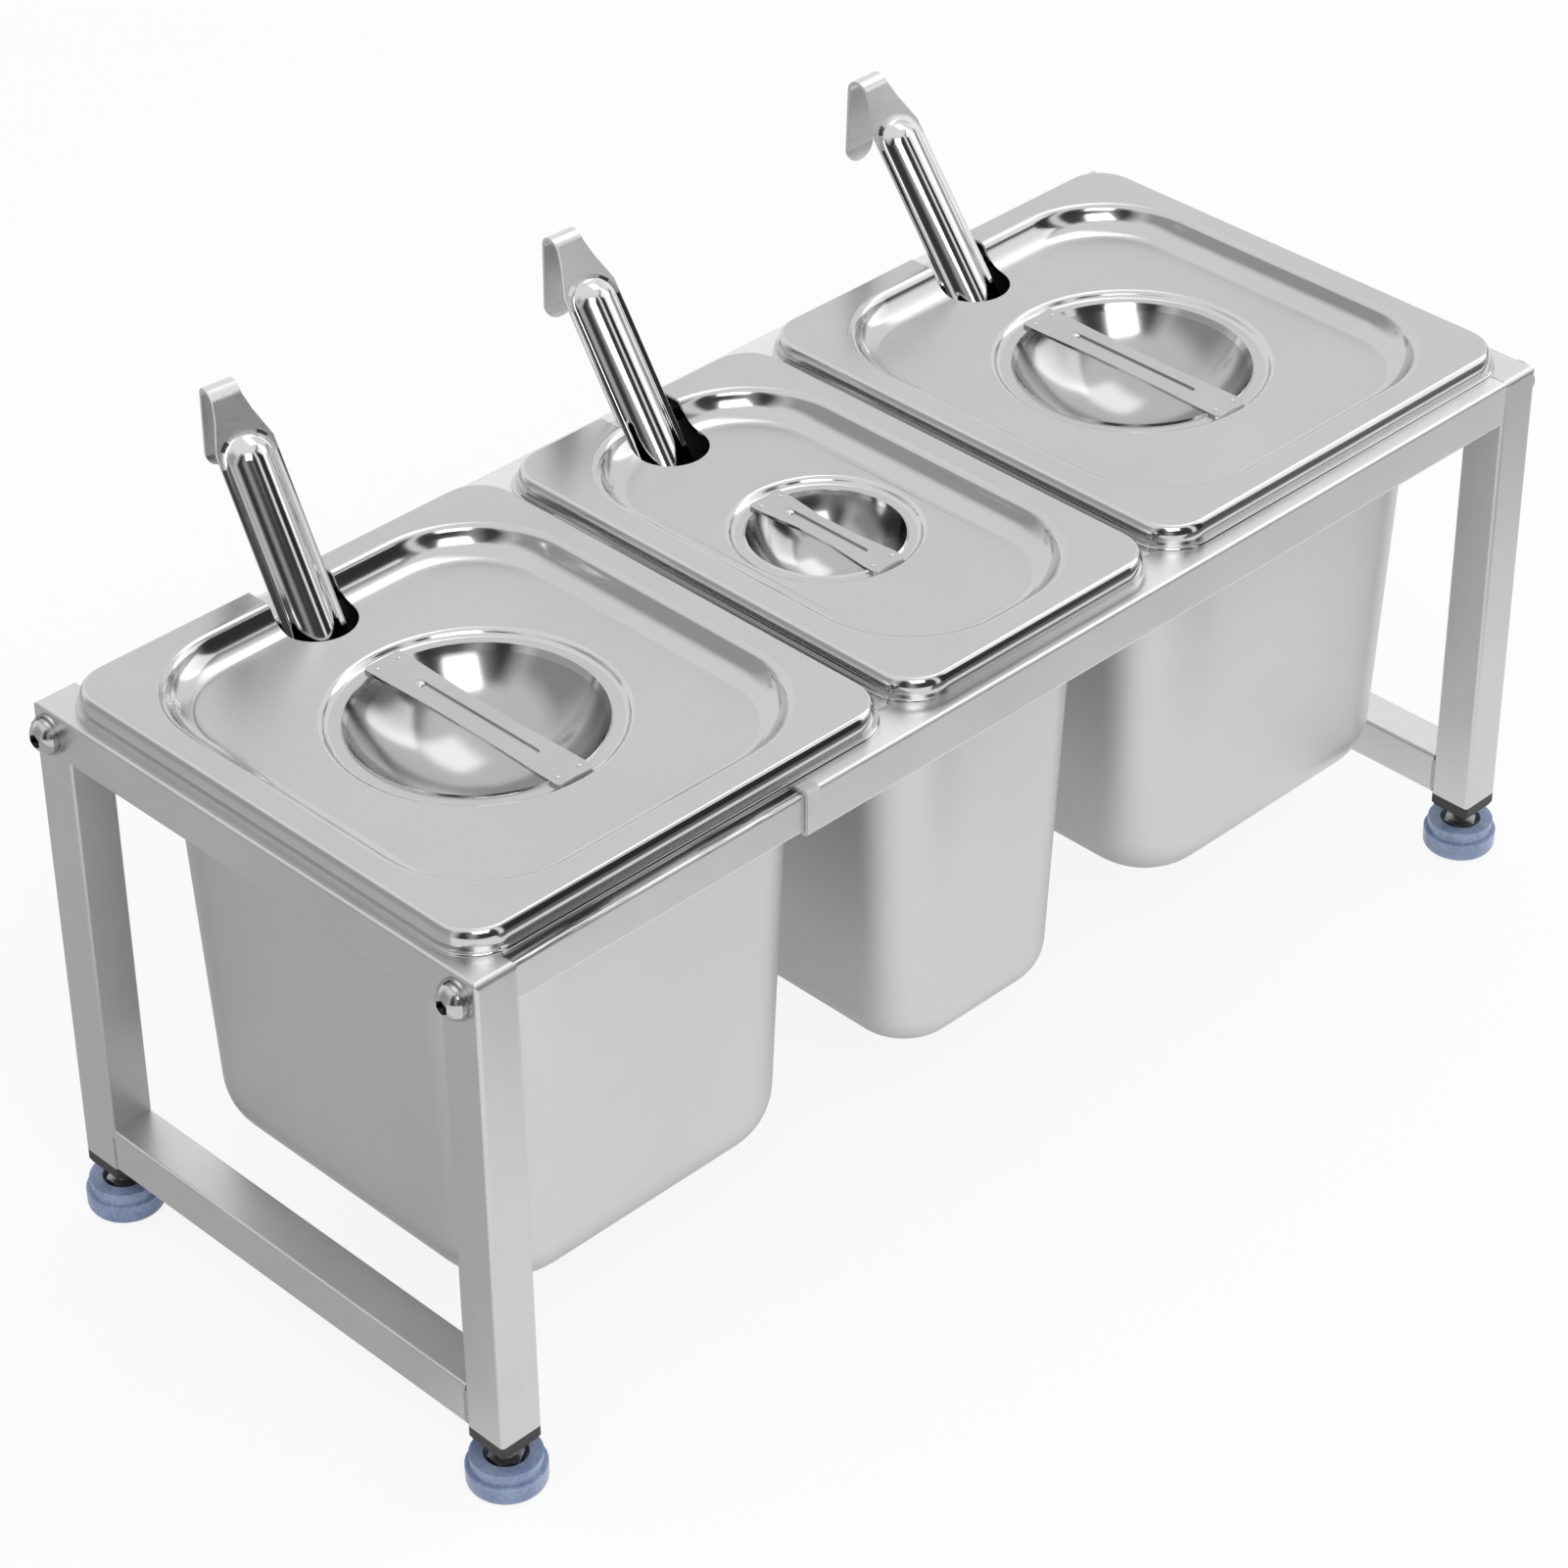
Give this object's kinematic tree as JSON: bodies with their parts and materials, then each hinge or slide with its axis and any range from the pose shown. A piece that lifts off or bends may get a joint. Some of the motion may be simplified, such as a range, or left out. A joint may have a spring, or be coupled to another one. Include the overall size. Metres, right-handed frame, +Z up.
{
  "type": "condiment holder",
  "caption": "Countertop condiment holder: a tubular steel rack with telescoping rails carries deep food pans with notched drop-in lids and hooked ladles.",
  "frame": {"origin": "centre of the front left pad's underside, on the surface the rack stands on", "axes": "+X along the rails from the inner-rail end to the outer-rail end, +Y from the front to the notched back, +Z up"},
  "size_m": [0.4574, 0.2206, 0.247],
  "materials": {
    "frame_steel": "satin brushed stainless tube, bright on the ground corners",
    "inner_rail_steel": "stainless tube with rough polishing streaks",
    "collar_plastic": "off-white plastic",
    "insert_steel": "plain steel threaded insert",
    "bolt_steel": "bright socket button bolt",
    "washer_steel": "plain steel washer",
    "plug_plastic": "black moulded plastic",
    "stud_steel": "zinc-plated threaded steel",
    "pad_rubber": "translucent blue moulded pad",
    "pan_steel": "drawn stainless sheet, satin walls and polished rim",
    "lid_steel": "drawn stainless sheet, satin with polished bends",
    "strap_steel": "pressed stainless strap, satin",
    "ladle_steel": "pressed stainless, polished handle and satin neck"
  },
  "bodies": {
    "rack_left": {"left_front_leg": "frame_steel", "left_back_leg": "frame_steel", "left_top_crossbar": "frame_steel", "left_bottom_crossbar": "frame_steel", "front_inner_rail": "inner_rail_steel", "back_inner_rail": "inner_rail_steel", "left_rail_inserts": "insert_steel", "left_bolts": "bolt_steel", "left_spring_washers": "washer_steel", "left_flat_washers": "washer_steel", "left_front_plug": "plug_plastic", "left_back_plug": "plug_plastic"},
    "rack_right": {"right_front_leg": "frame_steel", "right_back_leg": "frame_steel", "right_top_crossbar": "frame_steel", "right_bottom_crossbar": "frame_steel", "front_outer_rail": "frame_steel", "back_outer_rail": "frame_steel", "front_rail_collar": "collar_plastic", "back_rail_collar": "collar_plastic", "right_rail_inserts": "insert_steel", "right_bolts": "bolt_steel", "right_spring_washers": "washer_steel", "right_flat_washers": "washer_steel", "right_front_plug": "plug_plastic", "right_back_plug": "plug_plastic"},
    "left_pan_body": {"left_pan": "pan_steel"},
    "left_lid_body": {"left_lid": "lid_steel", "left_lid_strap": "strap_steel"},
    "left_ladle_body": {"left_ladle": "ladle_steel"},
    "middle_pan_body": {"middle_pan": "pan_steel"},
    "middle_lid_body": {"middle_lid": "lid_steel", "middle_lid_strap": "strap_steel"},
    "middle_ladle_body": {"middle_ladle": "ladle_steel"},
    "right_pan_body": {"right_pan": "pan_steel"},
    "right_lid_body": {"right_lid": "lid_steel", "right_lid_strap": "strap_steel"},
    "right_ladle_body": {"right_ladle": "ladle_steel"},
    "left_front_pad_body": {"left_front_pad": "pad_rubber"},
    "left_front_stud_body": {"left_front_stud": "stud_steel"},
    "left_back_pad_body": {"left_back_pad": "pad_rubber"},
    "left_back_stud_body": {"left_back_stud": "stud_steel"},
    "right_front_pad_body": {"right_front_pad": "pad_rubber"},
    "right_front_stud_body": {"right_front_stud": "stud_steel"},
    "right_back_pad_body": {"right_back_pad": "pad_rubber"},
    "right_back_stud_body": {"right_back_stud": "stud_steel"}
  },
  "joints": [
    {"name": "frame_extend", "type": "slide", "parent": "rack_left", "child": "rack_right", "axis": [1, 0, 0], "range_m": [0, 0.15]},
    {"name": "left_pan_lift", "type": "slide", "parent": "rack_left", "child": "left_pan_body", "axis": [0, 0, 1], "range_m": [0, 0.17]},
    {"name": "left_lid_lift", "type": "slide", "parent": "left_pan_body", "child": "left_lid_body", "axis": [0, 0, 1], "range_m": [0, 0.12]},
    {"name": "left_ladle_draw", "type": "slide", "parent": "left_pan_body", "child": "left_ladle_body", "axis": [0.0384, 0.5147, 0.8565], "range_m": [0, 0.07]},
    {"name": "middle_pan_lift", "type": "slide", "parent": "rack_left", "child": "middle_pan_body", "axis": [0, 0, 1], "range_m": [0, 0.17]},
    {"name": "middle_lid_lift", "type": "slide", "parent": "middle_pan_body", "child": "middle_lid_body", "axis": [0, 0, 1], "range_m": [0, 0.12]},
    {"name": "middle_ladle_draw", "type": "slide", "parent": "middle_pan_body", "child": "middle_ladle_body", "axis": [0.0244, 0.5777, 0.8159], "range_m": [0, 0.07]},
    {"name": "right_pan_lift", "type": "slide", "parent": "rack_left", "child": "right_pan_body", "axis": [0, 0, 1], "range_m": [0, 0.17]},
    {"name": "right_lid_lift", "type": "slide", "parent": "right_pan_body", "child": "right_lid_body", "axis": [0, 0, 1], "range_m": [0, 0.12]},
    {"name": "right_ladle_draw", "type": "slide", "parent": "right_pan_body", "child": "right_ladle_body", "axis": [-0.014, 0.5877, 0.8089], "range_m": [0, 0.07]},
    {"name": "left_front_pad_drop", "type": "slide", "parent": "rack_left", "child": "left_front_pad_body", "axis": [0, 0, -1], "range_m": [0, 0.0039]},
    {"name": "left_front_stud_turn", "type": "hinge", "parent": "left_front_pad_body", "child": "left_front_stud_body", "pos_m": [0, 0, 0.012], "axis": [0, 0, -1], "range_deg": [0, 1440]},
    {"name": "left_back_pad_drop", "type": "slide", "parent": "rack_left", "child": "left_back_pad_body", "axis": [0, 0, -1], "range_m": [0, 0.0039]},
    {"name": "left_back_stud_turn", "type": "hinge", "parent": "left_back_pad_body", "child": "left_back_stud_body", "pos_m": [0, 0.173, 0.012], "axis": [0, 0, -1], "range_deg": [0, 1440]},
    {"name": "right_front_pad_drop", "type": "slide", "parent": "rack_right", "child": "right_front_pad_body", "axis": [0, 0, -1], "range_m": [0, 0.0039]},
    {"name": "right_front_stud_turn", "type": "hinge", "parent": "right_front_pad_body", "child": "right_front_stud_body", "pos_m": [0.431, 0, 0.012], "axis": [0, 0, -1], "range_deg": [0, 1440]},
    {"name": "right_back_pad_drop", "type": "slide", "parent": "rack_right", "child": "right_back_pad_body", "axis": [0, 0, -1], "range_m": [0, 0.0039]},
    {"name": "right_back_stud_turn", "type": "hinge", "parent": "right_back_pad_body", "child": "right_back_stud_body", "pos_m": [0.431, 0.173, 0.012], "axis": [0, 0, -1], "range_deg": [0, 1440]}
  ],
  "couplings": [
    {"joint": "left_front_stud_turn", "follows": "left_front_pad_drop", "rad_per_m": 6283.2},
    {"joint": "left_back_stud_turn", "follows": "left_back_pad_drop", "rad_per_m": 6283.2},
    {"joint": "right_front_stud_turn", "follows": "right_front_pad_drop", "rad_per_m": 6283.2},
    {"joint": "right_back_stud_turn", "follows": "right_back_pad_drop", "rad_per_m": 6283.2}
  ]
}
